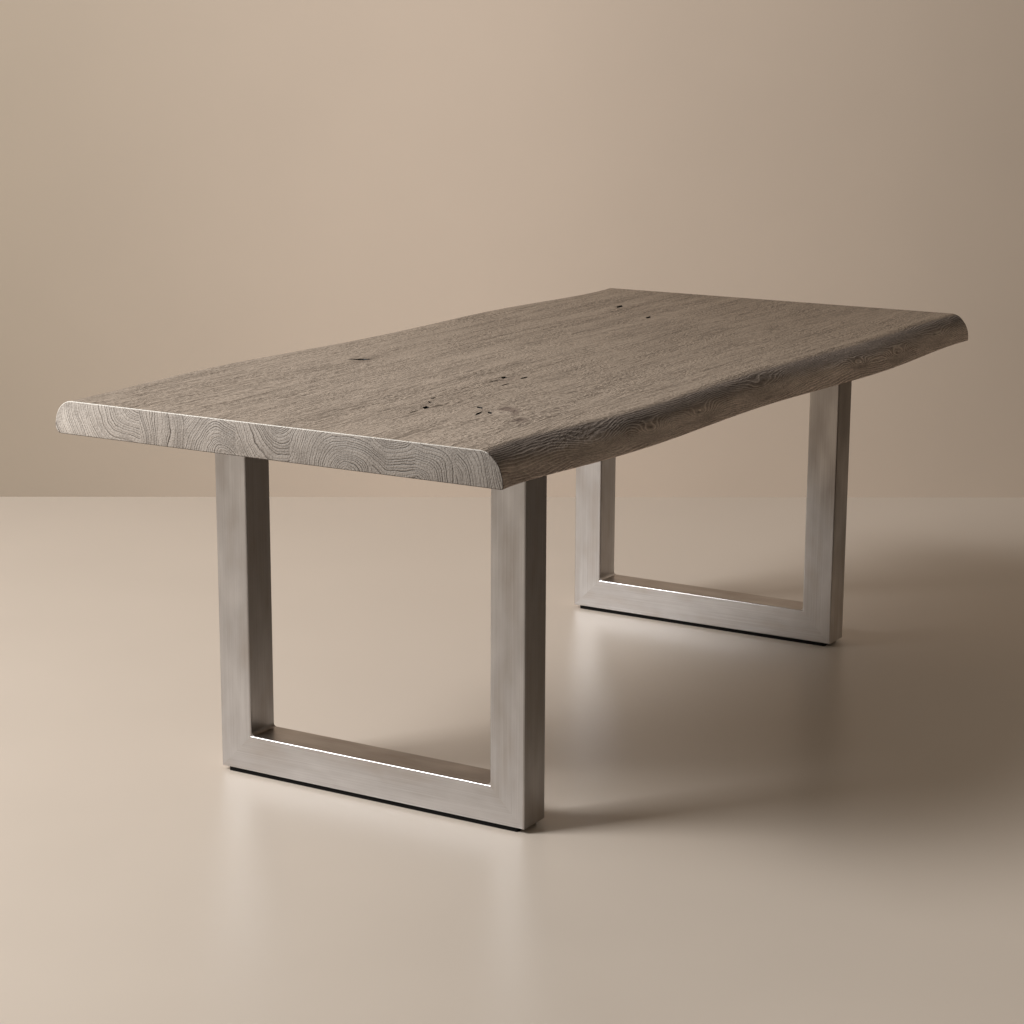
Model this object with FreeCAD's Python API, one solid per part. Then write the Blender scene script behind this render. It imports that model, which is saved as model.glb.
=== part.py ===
# Live edge dining table: a top of eight glued boards whose two outer boards keep the wavy edge of the
# tree, carried by two U-shaped frames of mitred steel tube.
#
# Millimetres, +Z up. X runs along the table from the left frame to the right one, Y from the front edge
# to the back edge. The origin is on the floor under the middle of the table.

import FreeCAD, Part
import math
import os
from FreeCAD import Vector

os.makedirs("parts", exist_ok=True)

# ---------------------------------------------------------------------------------------------------------
# Driving dimensions
# ---------------------------------------------------------------------------------------------------------

# Table as a whole
TABLE_HEIGHT = 760.0        # floor to table top
TOP_LENGTH = 2020.0         # along the grain
TOP_THICKNESS = 62.0
END_OVERHANG = 261.5        # from the end of the top to the outer face of the frame below it

# Boards of the top. Widths run from the back of the table to the front.
INNER_BOARD_WIDTHS = (102.0, 113.0, 116.0, 169.0, 87.0, 81.0)

# The outer boards change width as the tree did. Each list runs from the left end of the table to the right
# end at even steps and holds control points of a smooth line: first the width from the glue joint to the
# outermost point of the edge, then how much of that width the natural curve takes from the flat top.
BACK_BOARD_WIDTHS = (200.0, 201.0, 222.0, 231.0, 201.0, 187.0, 197.0, 207.0, 169.0, 154.0, 165.0)
BACK_CURVE_WIDTHS = (42.0, 46.0, 48.0, 46.0, 42.0, 44.0, 48.0, 50.0, 46.0, 42.0, 40.0)
FRONT_BOARD_WIDTHS = (90.0, 82.0, 114.0, 131.0, 122.0, 124.0, 152.0, 170.0, 159.0, 155.0, 164.0)
FRONT_CURVE_WIDTHS = (46.0, 68.0, 76.0, 52.0, 55.0, 58.0, 68.0, 70.0, 58.0, 49.0, 46.0)
BACK_UNDER_ROUNDING = 15.0  # height of the rounding below the widest point of the back edge
FRONT_UNDER_ROUNDING = 5.0  # the same at the front, where the tree's side was steeper
EASED_EDGE = 2.0            # bevel along the rims of the sawn ends

# Frames
FRAME_WIDTH = 686.0         # outside, from the front upright to the back upright
TUBE_FACE = 72.0            # side of the tube that is seen from the end of the table
TUBE_DEPTH = 77.0           # side of the tube along the table
TUBE_WALL = 3.0
TUBE_CORNER_RADIUS = 3.0
CORNER_WELD_LEG = 8.0       # bead in the inner corner of rail and upright
PLATE_WELD_LEG = 5.0        # bead between upright and mounting plate

# Mounting plate that closes the uprights and carries the top
PLATE_THICKNESS = 8.0
PLATE_INSET = 2.0           # step from the tube's faces to the plate, which hides the plate's edge
PLATE_CORNER_RADIUS = 6.0

# Fastening of the top: M8 socket screws in threaded inserts, alternately near the plate's two long edges
SCREWS_PER_FRAME = 4
SCREW_DIAMETER = 8.0
SCREW_LENGTH = 30.0
SCREW_HEAD_DIAMETER = 13.0
SCREW_HEAD_HEIGHT = 8.0
SCREW_SOCKET_WIDTH = 6.0    # across the flats of the hexagon
SCREW_SOCKET_DEPTH = 4.0
SCREW_FROM_UPRIGHT = 46.0   # from an upright's inner face to the outermost screw
SCREW_FROM_PLATE_EDGE = 21.5
HOLE_DIAMETER = 9.0
SLOT_TRAVEL = 8.0           # lets the top swell and shrink across the grain
WASHER_DIAMETER = 24.0
WASHER_THICKNESS = 2.0
INSERT_DIAMETER = 13.0
INSERT_LENGTH = 22.0
POCKET_SPARE_DEPTH = 2.0    # room in the wood above the insert
SLIDING_CLEARANCE = 0.1     # between round parts that go into one another, on the radius

# Glide strips that the table stands on
GLIDE_THICKNESS = 8.0
GLIDE_END_INSET = 15.0
GLIDE_SIDE_INSET = 3.0
GLIDE_CORNER_RADIUS = 3.0

# ---------------------------------------------------------------------------------------------------------
# Derived places
# ---------------------------------------------------------------------------------------------------------

top_underside = TABLE_HEIGHT - TOP_THICKNESS
plate_underside = top_underside - PLATE_THICKNESS
rail_top = GLIDE_THICKNESS + TUBE_FACE
half_length = TOP_LENGTH / 2
half_frame = FRAME_WIDTH / 2
inner_face = half_frame - TUBE_FACE
frame_center = half_length - END_OVERHANG - TUBE_DEPTH / 2
plate_length = FRAME_WIDTH - 2 * PLATE_INSET
plate_width = TUBE_DEPTH - 2 * PLATE_INSET

SMOOTH_DEGREE = 3           # of the wavy lines along the table
QUARTER_DEGREE = 2          # of a quarter ellipse, which has three control points with these weights
QUARTER_WEIGHTS = [1, math.sqrt(0.5), 1]
QUARTER_KNOTS = [0, 1]
QUARTER_MULTIPLICITIES = [3, 3]
PARALLEL = 0.99             # cosine above which two directions count as the same

# The rounded skins of the live edges are laid in strips along the grain. Each strip is nearly flat across,
# so meshes made from the skins stay small.
CURVE_STRIPS = 8            # over the natural curve
UNDER_STRIPS = 4            # over the small rounding below it

UP = Vector(0, 0, 1)
BACKWARD = Vector(0, 1, 0)
ALONG = Vector(1, 0, 0)


def save(shape, name):
    """Write one node of the table."""
    shape.exportStep("parts/" + name + ".step")


def centered_box(size_x, size_y, bottom, top):
    """Block that stands on the height bottom, centred on the Z axis."""
    corner = Vector(-size_x / 2, -size_y / 2, bottom)
    return Part.makeBox(size_x, size_y, top - bottom, corner)


def edges_along(block, direction):
    """Edges of a block that run along a direction."""
    def lines_up(edge):
        return abs(edge.tangentAt(edge.FirstParameter).dot(direction)) > PARALLEL

    return [edge for edge in block.Edges if lines_up(edge)]


def round_upright_edges(block, radius):
    """Round the four edges of a block that run along Z."""
    return block.makeFillet(radius, edges_along(block, UP))


def upright_pin(x, y, bottom, diameter, length):
    """Round bar that stands on the height bottom."""
    return Part.makeCylinder(diameter / 2, length, Vector(x, y, bottom), UP)


# ---------------------------------------------------------------------------------------------------------
# Table top
# ---------------------------------------------------------------------------------------------------------

def screw_places():
    """Screw axes on one plate, as (x, y) from the middle of its frame."""
    outermost = inner_face - SCREW_FROM_UPRIGHT
    step = 2 * outermost / (SCREWS_PER_FRAME - 1)
    sideways = plate_width / 2 - SCREW_FROM_PLATE_EDGE
    return [(sideways * (-1) ** index, index * step - outermost) for index in range(SCREWS_PER_FRAME)]


def insert_pockets():
    """Blind holes for the threaded inserts of both frames."""
    diameter = INSERT_DIAMETER + 2 * SLIDING_CLEARANCE
    depth = INSERT_LENGTH + POCKET_SPARE_DEPTH
    pockets = []
    for frame_x in (-frame_center, frame_center):
        for x, y in screw_places():
            pockets.append(upright_pin(frame_x + x, y, top_underside, diameter, depth))
    return pockets


def cut_pockets(board):
    """Bore the insert holes that lie in this board."""
    pockets = [pocket for pocket in insert_pockets() if board.BoundBox.intersect(pocket.BoundBox)]
    return board.cut(pockets) if pockets else board


def eased_board(joint, width):
    """Inner board in front of a glue joint, with the rims of its sawn ends eased."""
    corner = Vector(-half_length, joint - width, top_underside)
    board = Part.makeBox(TOP_LENGTH, width, TOP_THICKNESS, corner)
    return board.makeChamfer(EASED_EDGE, edges_along(board, BACKWARD))


def guide_points(x, joint, outward, width, curve_width, under_rounding, inset=0):
    """Points that shape an outer board at one place along the table, from the top round to the underside.

    outward is 1 for the back board and -1 for the front one. inset pulls the outline in on its three free
    sides.
    """
    high = TABLE_HEIGHT - inset
    low = top_underside + inset
    widest = joint + outward * (width - inset)
    crest = Vector(x, widest - outward * curve_width, high)
    shoulder = Vector(x, widest, high)
    belly = Vector(x, widest, low + under_rounding)
    under_corner = Vector(x, widest, low)
    heel = Vector(x, widest - outward * under_rounding, low)
    return crest, shoulder, belly, under_corner, heel


def strip_ranges(strips):
    """Start and end of each strip across a quarter ellipse, which runs from 0 to 1."""
    return [(index / strips, (index + 1) / strips) for index in range(strips)]


def quarter_ellipse(start, corner, end, strips):
    """Quarter of an ellipse from start to end, inside the corner where its end tangents meet."""
    curve = Part.BSplineCurve()
    curve.buildFromPolesMultsKnots(
        [start, corner, end], QUARTER_MULTIPLICITIES, QUARTER_KNOTS, False, QUARTER_DEGREE, QUARTER_WEIGHTS)
    return [curve.toShape(low, high) for low, high in strip_ranges(strips)]


def section_outline(guide, joint):
    """Closed outline of an outer board at one place along the table."""
    crest, shoulder, belly, under_corner, heel = guide
    joint_bottom = Vector(heel.x, joint, heel.z)
    joint_top = Vector(crest.x, joint, crest.z)
    return Part.Wire([
        *quarter_ellipse(crest, shoulder, belly, CURVE_STRIPS),
        *quarter_ellipse(belly, under_corner, heel, UNDER_STRIPS),
        Part.makeLine(heel, joint_bottom),
        Part.makeLine(joint_bottom, joint_top),
        Part.makeLine(joint_top, crest),
    ])


def smooth_knots(count):
    """Knots and their multiplicities for a smooth line along the table with this many control points."""
    knots = list(range(count - SMOOTH_DEGREE + 1))
    ends = [SMOOTH_DEGREE + 1]
    return knots, ends + [1] * (len(knots) - 2) + ends


def smooth_line(points):
    """Wavy line along the table."""
    knots, multiplicities = smooth_knots(len(points))
    curve = Part.BSplineCurve()
    curve.buildFromPolesMultsKnots(points, multiplicities, knots, False, SMOOTH_DEGREE)
    return curve.toShape()


def rounded_skin(starts, corners, ends, strips):
    """Strips of the skin between two wavy lines, with a quarter of an ellipse as its section all along."""
    knots, multiplicities = smooth_knots(len(starts))
    poles = [list(section) for section in zip(starts, corners, ends)]
    weights = [QUARTER_WEIGHTS] * len(poles)
    skin = Part.BSplineSurface()
    skin.buildFromPolesMultsKnots(
        poles, multiplicities, QUARTER_MULTIPLICITIES, knots, QUARTER_KNOTS,
        False, False, SMOOTH_DEGREE, QUARTER_DEGREE, weights)
    return [skin.toShape(knots[0], knots[-1], low, high) for low, high in strip_ranges(strips)]


def level_face(wavy_points, joint):
    """Flat top or underside of an outer board, from its wavy line to the glue joint."""
    left = wavy_points[0]
    right = wavy_points[-1]
    joint_left = Vector(left.x, joint, left.z)
    joint_right = Vector(right.x, joint, right.z)
    return Part.Face(Part.Wire([
        smooth_line(wavy_points),
        Part.makeLine(right, joint_right),
        Part.makeLine(joint_right, joint_left),
        Part.makeLine(joint_left, left),
    ]))


def live_edge_board(joint, outward, widths, curve_widths, under_rounding):
    """Outer board with the wavy edge of the tree, and eased rims at its sawn ends."""
    body_start = -half_length + EASED_EDGE
    step = (TOP_LENGTH - 2 * EASED_EDGE) / (len(widths) - 1)
    guides = []
    for index, (width, curve_width) in enumerate(zip(widths, curve_widths)):
        x = body_start + index * step
        guides.append(guide_points(x, joint, outward, width, curve_width, under_rounding))
    crests, shoulders, bellies, under_corners, heels = zip(*guides)

    left_outline = section_outline(guides[0], joint)
    right_outline = section_outline(guides[-1], joint)
    joint_face = Part.makePolygon([
        Vector(crests[0].x, joint, TABLE_HEIGHT), Vector(crests[-1].x, joint, TABLE_HEIGHT),
        Vector(crests[-1].x, joint, top_underside), Vector(crests[0].x, joint, top_underside),
        Vector(crests[0].x, joint, TABLE_HEIGHT)])
    shell = Part.makeShell([
        *rounded_skin(crests, shoulders, bellies, CURVE_STRIPS),
        *rounded_skin(bellies, under_corners, heels, UNDER_STRIPS),
        level_face(crests, joint),
        level_face(heels, joint),
        Part.Face(left_outline),
        Part.Face(right_outline),
        Part.Face(joint_face),
    ])
    shell.sewShape()
    body = Part.makeSolid(shell)
    if body.Volume < 0:
        body.reverse()

    tips = []
    for x, end, outline in ((-half_length, 0, left_outline), (half_length, -1, right_outline)):
        width = widths[end]
        curve_width = curve_widths[end]
        pulled_in = guide_points(x, joint, outward, width, curve_width, under_rounding, EASED_EDGE)
        tips.append(Part.makeLoft([outline, section_outline(pulled_in, joint)], True, True))
    return body.fuse(tips)


def outermost_point(widths):
    """Distance from the glue joint of an outer board to the farthest point of its wavy edge."""
    outline = smooth_line([Vector(index, width, 0) for index, width in enumerate(widths)])
    return outline.optimalBoundingBox(False).YMax


def make_top():
    """The boards from the back of the table to the front, centred on the frames by their farthest points."""
    back_width = outermost_point(BACK_BOARD_WIDTHS)
    top_width = back_width + sum(INNER_BOARD_WIDTHS) + outermost_point(FRONT_BOARD_WIDTHS)
    back_joint = top_width / 2 - back_width
    back_board = live_edge_board(back_joint, 1, BACK_BOARD_WIDTHS, BACK_CURVE_WIDTHS, BACK_UNDER_ROUNDING)
    save(cut_pockets(back_board), "back_live_edge_board")

    joint = back_joint
    for number, width in enumerate(INNER_BOARD_WIDTHS, start=1):
        save(cut_pockets(eased_board(joint, width)), "top_board_%d" % number)
        joint = joint - width

    front_board = live_edge_board(
        joint, -1, FRONT_BOARD_WIDTHS, FRONT_CURVE_WIDTHS, FRONT_UNDER_ROUNDING)
    save(cut_pockets(front_board), "front_live_edge_board")


# ---------------------------------------------------------------------------------------------------------
# Frames. Each is made about x = 0 and then moved to its end of the table.
# ---------------------------------------------------------------------------------------------------------

def tube(start, end):
    """Hollow tube along Y or Z between two points on its outer centre line."""
    length = start.distanceToPoint(end)
    bore_face = TUBE_FACE - 2 * TUBE_WALL
    bore_depth = TUBE_DEPTH - 2 * TUBE_WALL
    outside = round_upright_edges(centered_box(TUBE_DEPTH, TUBE_FACE, 0, length), TUBE_CORNER_RADIUS)
    hollow = outside.cut(centered_box(bore_depth, bore_face, 0, length))
    hollow.Placement = FreeCAD.Placement(start, FreeCAD.Rotation(UP, end - start))
    return hollow


def above_mitre(side):
    """Room above the mitre between the rail and the upright on one side (1 is back, -1 is front)."""
    outer = Vector(-TUBE_DEPTH, side * half_frame, GLIDE_THICKNESS)
    inner = Vector(-TUBE_DEPTH, side * inner_face, rail_top)
    run = inner - outer
    low = outer - run
    high = inner + run
    ceiling = UP * TABLE_HEIGHT
    outline = Part.makePolygon([low, high, high + ceiling, low + ceiling, low])
    return Part.Face(outline).extrude(ALONG * (2 * TUBE_DEPTH))


def corner_bead(height, side, rise, leg):
    """Weld bead between an upright's inner face and a level face, on top of it (rise 1) or under it (-1)."""
    half_depth = TUBE_DEPTH / 2 - TUBE_CORNER_RADIUS
    corner = Vector(-half_depth, side * inner_face, height)
    along_level = BACKWARD * (-side * leg)
    along_upright = UP * (rise * leg)
    level_end = corner + along_level
    upright_end = corner + along_upright
    hollow_middle = corner + (along_level + along_upright) * (1 - math.sqrt(0.5))
    outline = Part.Wire([
        Part.makeLine(corner, level_end),
        Part.Arc(level_end, hollow_middle, upright_end).toShape(),
        Part.makeLine(upright_end, corner),
    ])
    return Part.Face(outline).extrude(ALONG * (2 * half_depth))


def slot(x, y, travel):
    """Cutter for a hole in the mounting plate, drawn out by travel across the grain of the top."""
    cutter = upright_pin(x, y - travel / 2, plate_underside, HOLE_DIAMETER, PLATE_THICKNESS)
    if travel > 0:
        corner = Vector(x - HOLE_DIAMETER / 2, y - travel / 2, plate_underside)
        middle = Part.makeBox(HOLE_DIAMETER, travel, PLATE_THICKNESS, corner)
        far_end = upright_pin(x, y + travel / 2, plate_underside, HOLE_DIAMETER, PLATE_THICKNESS)
        cutter = cutter.fuse([middle, far_end]).removeSplitter()
    return cutter


def make_mounting_plate():
    """Flat bar across both uprights. Its outermost holes are slots, and the round ones hold the top."""
    bar = centered_box(plate_width, plate_length, plate_underside, top_underside)
    plate = round_upright_edges(bar, PLATE_CORNER_RADIUS)
    for index, (x, y) in enumerate(screw_places()):
        outermost = index in (0, SCREWS_PER_FRAME - 1)
        plate = plate.cut(slot(x, y, SLOT_TRAVEL if outermost else 0))
    return plate


def make_washer(x, y):
    """Flat washer that bridges the slot."""
    bottom = plate_underside - WASHER_THICKNESS
    disc = upright_pin(x, y, bottom, WASHER_DIAMETER, WASHER_THICKNESS)
    return disc.cut(upright_pin(x, y, bottom, SCREW_DIAMETER + 2 * SLIDING_CLEARANCE, WASHER_THICKNESS))


def make_screw(x, y):
    """Socket head screw that points up into the top."""
    seat = plate_underside - WASHER_THICKNESS
    head_end = seat - SCREW_HEAD_HEIGHT
    head = upright_pin(x, y, head_end, SCREW_HEAD_DIAMETER, SCREW_HEAD_HEIGHT)
    shank = upright_pin(x, y, seat, SCREW_DIAMETER, SCREW_LENGTH)
    corner_distance = SCREW_SOCKET_WIDTH / math.sqrt(3)
    corners = []
    for index in range(7):
        angle = math.pi / 3 * index
        away = Vector(math.cos(angle), math.sin(angle), 0) * corner_distance
        corners.append(Vector(x, y, head_end) + away)
    socket = Part.Face(Part.makePolygon(corners)).extrude(UP * SCREW_SOCKET_DEPTH)
    return head.fuse(shank).cut(socket)


def make_insert(x, y):
    """Threaded insert in the underside of the top."""
    body = upright_pin(x, y, top_underside, INSERT_DIAMETER, INSERT_LENGTH)
    return body.cut(upright_pin(x, y, top_underside, SCREW_DIAMETER + 2 * SLIDING_CLEARANCE, INSERT_LENGTH))


def frame_pieces():
    """Pieces of one frame and of its fastening, by name."""
    rail_axis_z = GLIDE_THICKNESS + TUBE_FACE / 2
    upright_axis_y = half_frame - TUBE_FACE / 2
    rail = tube(Vector(0, -half_frame, rail_axis_z), Vector(0, half_frame, rail_axis_z))
    pieces = {}
    beads = []
    for name, side in (("front", -1), ("back", 1)):
        axis_y = side * upright_axis_y
        upright = tube(Vector(0, axis_y, GLIDE_THICKNESS), Vector(0, axis_y, plate_underside))
        mitre_room = above_mitre(side)
        pieces[name + "_upright"] = upright.common(mitre_room)
        rail = rail.cut(mitre_room)
        beads.append(corner_bead(rail_top, side, 1, CORNER_WELD_LEG))
        beads.append(corner_bead(plate_underside, side, -1, PLATE_WELD_LEG))
    pieces["bottom_rail"] = rail
    pieces["frame_welds"] = Part.makeCompound(beads)
    pieces["mounting_plate"] = make_mounting_plate()

    places = screw_places()
    pieces["plate_washers"] = Part.makeCompound([make_washer(x, y) for x, y in places])
    pieces["plate_screws"] = Part.makeCompound([make_screw(x, y) for x, y in places])
    pieces["threaded_inserts"] = Part.makeCompound([make_insert(x, y) for x, y in places])

    glide_width = TUBE_DEPTH - 2 * GLIDE_SIDE_INSET
    glide_length = FRAME_WIDTH - 2 * GLIDE_END_INSET
    strip = centered_box(glide_width, glide_length, 0, GLIDE_THICKNESS)
    pieces["glide_strip"] = round_upright_edges(strip, GLIDE_CORNER_RADIUS)
    return pieces


def make_frames():
    """The left frame and the right frame, which are alike."""
    for prefix, x in (("left_", -frame_center), ("right_", frame_center)):
        for name, shape in frame_pieces().items():
            save(shape.translated(Vector(x, 0, 0)), prefix + name)


make_top()
make_frames()
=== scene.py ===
# Live edge dining table: wood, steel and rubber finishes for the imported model, on a plain studio floor.
#
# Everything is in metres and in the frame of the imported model: X runs along the table from the left frame to
# the right one, Y from the front edge to the back edge, and Z up from the floor.

import math

import bmesh
import bpy
from bpy.props import FloatProperty, FloatVectorProperty, PointerProperty
from mathutils import Matrix, Vector, noise


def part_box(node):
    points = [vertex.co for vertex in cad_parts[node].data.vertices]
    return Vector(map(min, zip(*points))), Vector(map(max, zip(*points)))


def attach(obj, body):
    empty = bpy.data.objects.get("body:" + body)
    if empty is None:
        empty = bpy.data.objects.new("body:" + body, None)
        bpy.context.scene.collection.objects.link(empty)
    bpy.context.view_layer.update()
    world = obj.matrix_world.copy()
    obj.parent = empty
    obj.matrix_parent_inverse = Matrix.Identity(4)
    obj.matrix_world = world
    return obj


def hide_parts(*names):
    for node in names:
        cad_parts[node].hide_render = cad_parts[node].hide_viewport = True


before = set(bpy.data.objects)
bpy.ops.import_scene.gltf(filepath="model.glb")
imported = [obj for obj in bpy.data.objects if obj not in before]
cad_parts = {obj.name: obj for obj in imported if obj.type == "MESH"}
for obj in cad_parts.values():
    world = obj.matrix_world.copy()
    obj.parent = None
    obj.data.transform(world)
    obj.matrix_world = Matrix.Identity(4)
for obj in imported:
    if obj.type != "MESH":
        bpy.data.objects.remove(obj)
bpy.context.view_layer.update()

bl_info = {
    "name": "Live edge dining table",
    "version": (1, 0, 0),
    "blender": (4, 5, 0),
    "location": "3D View > Sidebar > Table",
    "description": "Dresses the live edge dining table in washed oak, ground stainless steel and rubber",
    "category": "Object",
}

MM = 0.001


def linear(hex_color):
    """Scene colour of an sRGB hex colour."""
    channels = [int(hex_color[index:index + 2], 16) / 255 for index in (1, 3, 5)]
    return [c / 12.92 if c <= 0.04045 else ((c + 0.055) / 1.055) ** 2.4 for c in channels]


def color_setting(name, hex_color, description):
    """Colour that a user may change."""
    return FloatVectorProperty(
        name=name, description=description, subtype="COLOR", size=3, min=0, max=1, default=linear(hex_color))


def length_setting(name, millimetres, description):
    """Length that a user may change."""
    return FloatProperty(name=name, description=description, unit="LENGTH", min=0, default=millimetres * MM)


class TableWoodSettings(bpy.types.PropertyGroup):
    face_light: color_setting("Face, light", "#a09285", "Early wood on the flat top")
    face_dark: color_setting("Face, dark", "#4f4339", "Late wood and dark streaks on the flat top")
    end_light: color_setting("End grain, light", "#b0a79f", "Early wood on the sawn ends")
    end_dark: color_setting("End grain, dark", "#5c534c", "Late wood on the sawn ends")
    edge_light: color_setting("Natural edge, light", "#c3b3a8", "Raised grain on the natural edges")
    edge_dark: color_setting("Natural edge, dark", "#635750", "Hollows of the natural edges")
    stain: color_setting("Knot stain", "#5d4d46", "Dark wood round the knots of the flat top")
    # The pale arris is worn bare wood with a painted highlight.
    arris: color_setting("Worn arris", "#e6e1da", "Rim of the sawn ends, rubbed bare")
    # Colour of the knot eyes, and painted shade on the rims of the sawn ends below the rubbed height
    eye_and_rim_shade: color_setting("Knot eye and rim shade", "#3a3029", "Eyes of the knots, and painted shade on the rims of the sawn ends")
    # Painted shade inside the cracks and open knots
    crack: color_setting("Open crack", "#0b0806", "Wood inside the cracks and open knots")
    ring_width: length_setting("Ring width", 4.7, "Growth of one year")
    relief: length_setting("Edge relief", 3.0, "Depth of the hollows in the natural edges")
    sapwood: color_setting("Sapwood", "#cbc3bb", "Paler young wood under the natural edges, on the sawn ends")
    arris_radius: length_setting("Arris radius", 1.3, "Rounding of the rims of the sawn ends")


class TableSteelSettings(bpy.types.PropertyGroup):
    steel_light: color_setting("Steel, light", "#cac9ca", "Ground stainless steel")
    steel_dark: color_setting("Steel, dark", "#a5a1a0", "Cloudy patches of the ground steel")
    rubber: color_setting("Rubber", "#080707", "Glide strips")
    zinc: color_setting("Zinc", "#b7b09a", "Plating of the threaded inserts")


class TableStageSettings(bpy.types.PropertyGroup):
    floor: color_setting("Floor", "#c8bcb0", "Plain studio floor")
    wall: color_setting("Wall", "#d6c5b5", "Plain studio wall")
    # The wall is painted darker towards its sides as painted shade.
    wall_sides_shade: color_setting("Wall, lamp side", "#a79989", "Wall on the side of the lamp, painted deeper")
    screen: color_setting("Dark screen", "#3f362e", "Cloth of the screen that the steel reflects")
    sky: color_setting("Fill light", "#dacebb", "Light that comes from all round")
    sky_strength: FloatProperty(
        name="Fill strength", description="Level of the fill light", min=0, default=0.26)
    key_power: FloatProperty(
        name="Key power", description="Power of the large soft lamp", min=0, default=424, subtype="POWER")
    wall_distance: length_setting("Wall distance", 2047, "From the middle of the table to the wall")


# ---- Wood ----

# The two outer boards, in millimetres. Widths run from the left end to the right one: from the glue joint to
# the outermost point, and the part of that which the natural curve takes from the flat top. The rim of the
# sawn ends is pale down to the rubbed depth, as worn bare wood with a painted highlight, and has painted
# shade below it.
LIVE_EDGES = {
    "back": {
        "outward": 1,
        "widths": (200, 201, 222, 231, 201, 187, 197, 207, 169, 154, 165),
        "curve_widths": (42, 46, 48, 46, 42, 44, 48, 50, 46, 42, 40),
        "under_rounding": 15,
        "rubbed_depth": 43.4,
    },
    "front": {
        "outward": -1,
        "widths": (90, 82, 114, 131, 122, 124, 152, 170, 159, 155, 164),
        "curve_widths": (46, 68, 76, 52, 55, 58, 68, 70, 58, 49, 46),
        "under_rounding": 5,
        "rubbed_depth": 4,
    },
}

# Drying cracks and open knots in the flat top, in millimetres and degrees: place (x, y), length, width, turn
# from the grain, and how far the widest place lies towards the far tip.
CRACKS = (
    (-322, 299, 56, 20, -52, 0.7),
    (-724, -120, 34, 13, 26, 0.2),
    (-672, -95, 22, 7, 41, 0),
    (-632, -78, 30, 6, 9, -0.3),
    (-774, -125, 50, 5, 5, 0.3),
    (-673, -203, 28, 11, 53, 0.3),
    (-723, -231, 52, 7, 14, 0),
    (-708, -245, 28, 9, 40, 0),
    (-363, -68, 30, 13, 22, 0.3),
    (-407, -73, 44, 6, -3, 0.4),
    (-345, -103, 34, 10, 3, 0),
    (-432, -112, 42, 6, 5, 0),
    (696, 240, 56, 15, 16, 0.2),
    (562, 93, 46, 12, 17, 0),
)

# Stains round the knots of the flat top: place (x, y), length, width and turn as above, and how much darker
# (above 0) or paler (below 0) the wood is there.
STAINS = (
    (-664, -258, 66, 26, 27, 0.75),
    (-694, -284, 40, 15, 10, 0.55),
    (-696, -261, 46, 24, 18, -0.9),
    (-745, -326, 60, 24, 23, 0.4),
    (-700, -112, 90, 26, 26, 0.25),
    (-372, -86, 90, 22, 6, 0.25),
    (-330, 285, 90, 40, 20, 0.2),
)

# Heart of the tree that each board was sawn from, as (y, z) at the left end in millimetres
HEARTS = {
    "back_live_edge_board": (304, 774),
    "top_board_1": (420, 712),
    "top_board_2": (112, 690),
    "top_board_3": (-8, 783),
    "top_board_4": (-152, 690),
    "top_board_5": (-244, 776),
    "top_board_6": (-279, 684),
    "front_live_edge_board": (-279, 684),
}

# Knots: centre (x, y, z), radii of the swirl (x, y, z) and how far it bends the rings, all in millimetres
KNOTS = {
    "back_live_edge_board": ((-320, 318, 760, 120, 40, 60, 22),),
    "top_board_1": ((696, 240, 760, 110, 30, 60, 20), (-704, 250, 760, 90, 26, 60, 18)),
    "top_board_2": ((562, 96, 760, 90, 26, 60, 16), (-730, 142, 760, 110, 28, 60, 22)),
    "top_board_3": ((-330, 30, 760, 130, 30, 60, 14),),
    "top_board_4": (
        (-690, -128, 760, 80, 28, 60, 26),
        (-372, -88, 760, 90, 26, 60, 18),
        (585, -72, 760, 110, 30, 60, 22),
    ),
    "top_board_5": (
        (-694, -260, 760, 60, 26, 50, 30),
        (-440, -262, 760, 110, 26, 50, 14),
        (443, -228, 760, 100, 30, 60, 22),
    ),
    "top_board_6": ((-614, -324, 760, 60, 22, 50, 22), (-745, -324, 760, 44, 18, 50, 16)),
    "front_live_edge_board": (
        (-713, -464, 743, 100, 60, 28, 20),
        (-542, -481, 731, 60, 50, 18, 24),
        (-350, -480, 729, 80, 50, 16, 18),
        (-57, -473, 738, 110, 60, 22, 20),
        (357, -505, 732, 46, 50, 13, 16),
        (563, -518, 728, 70, 50, 18, 22),
        (820, -510, 735, 90, 50, 20, 14),
    ),
}

# Width of the strip beside each natural edge that a painted highlight makes paler than the rest of the top
CREST_HIGHLIGHT_WIDTH = 16 * MM

# How finely an outer board is divided: along it, and around its flat strip, curve, rounding and underside
ALONG = 400
FLAT, CURVED, UNDER, BELOW = 6, 34, 7, 5
AROUND = FLAT + CURVED + UNDER + BELOW + 1

# The relief grows to its full depth over this height below the flat top.
RELIEF_RISE = 12 * MM

# The finish of the natural edge starts this far below the flat top, and is full a little further down.
FINISH_START = 0.8 * MM
FINISH_RISE = 3 * MM

# Long ridges, ripples and grooves of the natural edges: sizes in metres, and a shift that keeps them apart
RIDGES = ((0.19, 0.06, 0.034), 0)
RIPPLES = ((0.07, 0.02, 0.013), 7)
GROOVES = ((0.12, 0.03, 0.018), 31)

# How ragged a crack's sides are. It narrows to these shares of its length and width at its floor, and is this
# many times as deep as it is wide, up to a width in millimetres.
CRACK_RAGGED = 0.35
CRACK_FLOOR = (0.72, 0.4)
CRACK_DEPTH = 1.3
CRACK_FULL_WIDTH = 9

# Faces that meet at a larger angle than this keep a sharp edge.
SHARP_ANGLE = math.radians(32)


def smooth_line(values, share):
    """Value at a share of the way along a smooth clamped line with these control values."""
    degree = 3
    spans = len(values) - degree
    place = min(share * spans, spans - 1e-9)
    span = int(place)
    knots = [0] * degree + list(range(spans + 1)) + [spans] * degree
    points = [values[span + index] for index in range(degree + 1)]
    for level in range(1, degree + 1):
        for index in range(degree, level - 1, -1):
            left = knots[span + index]
            right = knots[span + index + 1 + degree - level]
            weight = (place - left) / (right - left)
            points[index] = (1 - weight) * points[index - 1] + weight * points[index]
    return points[degree]


def in_scene(name, data):
    """Object in the scene for a mesh, a lamp or a camera."""
    made = bpy.data.objects.new(name, data)
    bpy.context.scene.collection.objects.link(made)
    return made


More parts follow.
